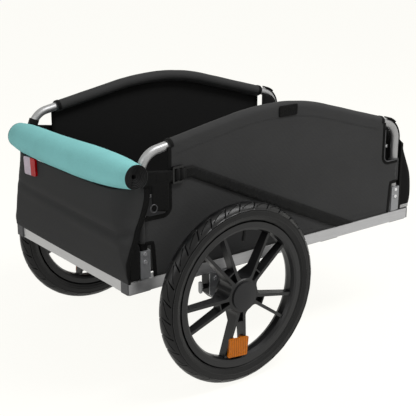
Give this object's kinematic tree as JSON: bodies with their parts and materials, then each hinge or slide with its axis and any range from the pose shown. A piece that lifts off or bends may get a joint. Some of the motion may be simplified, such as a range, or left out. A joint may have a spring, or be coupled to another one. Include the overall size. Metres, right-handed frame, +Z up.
{
  "type": "bicycle cargo trailer",
  "caption": "Two-wheeled cargo trailer for a bicycle: square tube floor frame, folding tube hoops with cloth side walls, cloth end panels, a rolled-up cover and moulded spoked wheels.",
  "frame": {"origin": "on the ground, under the middle of the whole trailer", "axes": "+X the way the trailer travels, +Y its left, +Z up"},
  "size_m": [0.8909, 0.6438, 0.5758],
  "materials": {
    "rail_tube": "satin, anodised",
    "hoop_tube": "satin, anodised",
    "joint_plate": "satin",
    "end_plug": "matte",
    "floor_board": "fine matte grain",
    "hinge_steel": "zinc plated",
    "fastener_steel": "bright zinc",
    "wall_cloth": "coated polyester, dull",
    "panel_cloth": "coated polyester, dull",
    "webbing": "woven, dull",
    "hook_patch": "rough loop pile",
    "buckle_plastic": "fine matte",
    "cover_cloth": "coated polyester, soft sheen",
    "lens_red": "prismatic",
    "lens_white": "prismatic",
    "lens_amber": "prismatic",
    "ring_wire": "nickel plated",
    "tyre_rubber": "worn-in matte",
    "inner_tube_rubber": "matte",
    "wheel_plastic": "moulded, low sheen",
    "cap_plastic": "moulded, satin",
    "bearing_steel": "ground",
    "block_plastic": "moulded, matte",
    "plate_steel": "zinc plated",
    "axle_steel": "ground",
    "spring_steel": "plain",
    "knob_plastic": "moulded, satin",
    "arm_steel": "black powder coat",
    "grip_plastic": "moulded, matte"
  },
  "bodies": {
    "frame": {"side_rail_right": "rail_tube", "side_rail_left": "rail_tube", "rear_rail": "rail_tube", "front_rail": "rail_tube", "floor_cross_bars": "rail_tube", "joint_plates": "joint_plate", "frame_rivets": "fastener_steel", "rail_end_plugs": "end_plug", "floor_panel": "floor_board", "floor_screws": "fastener_steel", "hinge_bases": "hinge_steel", "hinge_pins": "fastener_steel", "axle_blocks": "block_plastic", "axle_plates": "plate_steel", "bracket_bolts": "fastener_steel", "stub_axles": "axle_steel", "axle_spacers": "axle_steel", "release_springs": "spring_steel", "tow_bracket": "hinge_steel", "tow_pivot_bolt": "fastener_steel"},
    "tow_clamp_knob": {"tow_clamp_knob": "grip_plastic"},
    "tow_arm": {"tow_arm": "arm_steel", "hitch_pin": "fastener_steel"},
    "hitch_head": {"hitch_head": "hinge_steel"},
    "rear_panel": {"rear_panel": "panel_cloth", "rolled_cover": "cover_cloth", "rear_reflector_white": "lens_white", "rear_reflector_red": "lens_red", "corner_straps": "webbing", "corner_rings": "ring_wire"},
    "front_panel": {"front_panel": "panel_cloth"},
    "hoop_right": {"hoop_right": "hoop_tube", "hoop_feet_right": "hinge_steel", "foot_rivets_right": "fastener_steel", "side_wall_right": "wall_cloth", "velcro_patch_right": "hook_patch", "side_strap_right": "webbing", "strap_buckle_right": "buckle_plastic"},
    "wheel_right": {"tyre_right": "tyre_rubber", "inner_tube_right": "inner_tube_rubber", "rim_right": "wheel_plastic", "hub_cap_right": "cap_plastic", "wheel_bearings_right": "bearing_steel", "spoke_reflector_right": "lens_amber"},
    "release_knob_right": {"release_knob_right": "knob_plastic"},
    "hoop_left": {"hoop_left": "hoop_tube", "hoop_feet_left": "hinge_steel", "foot_rivets_left": "fastener_steel", "side_wall_left": "wall_cloth", "velcro_patch_left": "hook_patch", "side_strap_left": "webbing", "strap_buckle_left": "buckle_plastic"},
    "wheel_left": {"tyre_left": "tyre_rubber", "inner_tube_left": "inner_tube_rubber", "rim_left": "wheel_plastic", "hub_cap_left": "cap_plastic", "wheel_bearings_left": "bearing_steel", "spoke_reflector_left": "lens_amber"},
    "release_knob_left": {"release_knob_left": "knob_plastic"}
  },
  "joints": [
    {"name": "wheel_spin_right", "type": "hinge", "parent": "frame", "child": "wheel_right", "pos_m": [-0.16155, -0.297, 0.2], "axis": [0, 1, 0], "continuous": true},
    {"name": "hoop_fold_right", "type": "hinge", "parent": "frame", "child": "hoop_right", "pos_m": [0, -0.2225, 0.272], "axis": [-1, 0, 0], "range_deg": [0, 86]},
    {"name": "knob_pull_right", "type": "slide", "parent": "frame", "child": "release_knob_right", "axis": [-1, 0, 0], "range_m": [0, 0.006], "stiffness_N_per_m": 1500, "springref_m": -0.002, "deforming": ["release_springs"]},
    {"name": "wheel_spin_left", "type": "hinge", "parent": "frame", "child": "wheel_left", "pos_m": [-0.16155, 0.297, 0.2], "axis": [0, 1, 0], "continuous": true},
    {"name": "hoop_fold_left", "type": "hinge", "parent": "frame", "child": "hoop_left", "pos_m": [0, 0.2225, 0.272], "axis": [1, 0, 0], "range_deg": [0, 68]},
    {"name": "knob_pull_left", "type": "slide", "parent": "frame", "child": "release_knob_left", "axis": [-1, 0, 0], "range_m": [0, 0.006], "stiffness_N_per_m": 1500, "springref_m": -0.002, "deforming": ["release_springs"]},
    {"name": "rear_panel_drop", "type": "hinge", "parent": "frame", "child": "rear_panel", "pos_m": [-0.39855, 0, 0.2582], "axis": [0, -1, 0], "range_deg": [0, 95]},
    {"name": "front_panel_drop", "type": "hinge", "parent": "frame", "child": "front_panel", "pos_m": [0.42045, 0, 0.2469], "axis": [0, 1, 0], "range_deg": [0, 84]},
    {"name": "tow_arm_swing", "type": "hinge", "parent": "frame", "child": "tow_arm", "pos_m": [0.33645, 0.2225, 0.215], "axis": [0, -1, 0], "range_deg": [0, 180]},
    {"name": "hitch_yaw", "type": "hinge", "parent": "tow_arm", "child": "hitch_head", "pos_m": [-0.22055, 0.1185, 0.205], "axis": [0, 0, 1], "range_deg": [-40, 40]},
    {"name": "clamp_knob_turn", "type": "hinge", "parent": "frame", "child": "tow_clamp_knob", "pos_m": [0.33645, 0.2225, 0.215], "axis": [0, 1, 0], "continuous": true}
  ]
}
